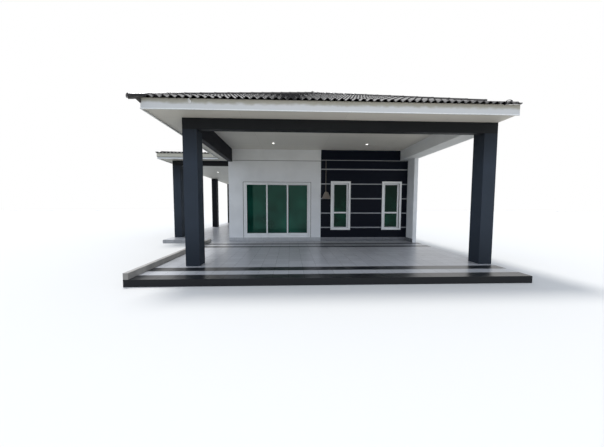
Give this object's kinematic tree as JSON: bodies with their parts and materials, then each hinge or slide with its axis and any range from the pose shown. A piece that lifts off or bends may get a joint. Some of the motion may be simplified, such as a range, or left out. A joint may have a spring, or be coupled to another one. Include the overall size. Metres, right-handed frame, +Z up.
{
  "type": "bungalow",
  "caption": "Single-storey end bungalow with a deep columned porch, a covered side terrace, a sliding glass door and a hipped tile roof.",
  "frame": {"origin": "on the ground, under the middle of the front face of the porch columns", "axes": "+Z up, -Y the way the porch faces, +X to the right as one looks at the front"},
  "size_m": [10.9127, 18.4151, 5.7053],
  "materials": {
    "wall_paint": "white emulsion on smooth plaster",
    "dark_paint": "charcoal masonry paint, slight sheen",
    "feature_paint": "near-black navy masonry paint",
    "trim_paint": "white gloss masonry paint",
    "board": "painted flat fibre-cement and plaster board",
    "fascia_board": "white gloss paint",
    "floor_tile": "polished grey and black tiles",
    "inner_floor": "polished cream tiles",
    "concrete": "bare concrete",
    "roof_tile": "charcoal brown roof tile, semi-gloss",
    "white_aluminium": "white powder coat",
    "tinted_glass": "green tinted float glass",
    "lamp_metal": "copper tone lacquer",
    "lamp_white": "white lamp rim"
  },
  "bodies": {
    "house": {"porch_floor": "floor_tile", "porch_kerb": "concrete", "terrace_floor": "floor_tile", "house_floor": "inner_floor", "porch_column": "dark_paint", "party_column": "dark_paint", "terrace_front_column": "dark_paint", "terrace_middle_column": "dark_paint", "terrace_back_column": "dark_paint", "porch_front_beam": "dark_paint", "porch_side_beam": "dark_paint", "party_beam": "wall_paint", "terrace_front_beam": "dark_paint", "terrace_edge_beam": "dark_paint", "front_wall_left": "wall_paint", "front_wall_over_door": "wall_paint", "front_wall_middle": "wall_paint", "feature_wall": "feature_paint", "left_wall": "wall_paint", "rear_wall": "wall_paint", "party_wall": "wall_paint", "window_surrounds": "trim_paint", "window_frames": "white_aluminium", "window_glass": "tinted_glass", "feature_lines": "trim_paint", "door_frame": "white_aluminium", "door_right_panel": "white_aluminium", "door_right_glass": "tinted_glass", "porch_ceiling": "board", "terrace_ceiling": "board", "room_ceiling": "board", "eave_soffit": "board", "eave_fascia": "fascia_board", "roof_front_slope": "roof_tile", "roof_left_slope": "roof_tile", "roof_right_slope": "roof_tile", "roof_rear_slope": "roof_tile", "terrace_roof": "roof_tile", "hip_caps": "roof_tile", "ridge_cap": "roof_tile", "terrace_hip_caps": "roof_tile", "wall_lamp": "lamp_metal", "downlights": "lamp_white"},
    "left_panel": {"door_left_panel": "white_aluminium", "door_left_glass": "tinted_glass"},
    "middle_panel": {"door_middle_panel": "white_aluminium", "door_middle_glass": "tinted_glass"}
  },
  "joints": [
    {"name": "left_panel_slide", "type": "slide", "parent": "house", "child": "left_panel", "axis": [1, 0, 0], "range_m": [0, 1.65]},
    {"name": "middle_panel_slide", "type": "slide", "parent": "house", "child": "middle_panel", "axis": [1, 0, 0], "range_m": [0, 0.81]}
  ]
}
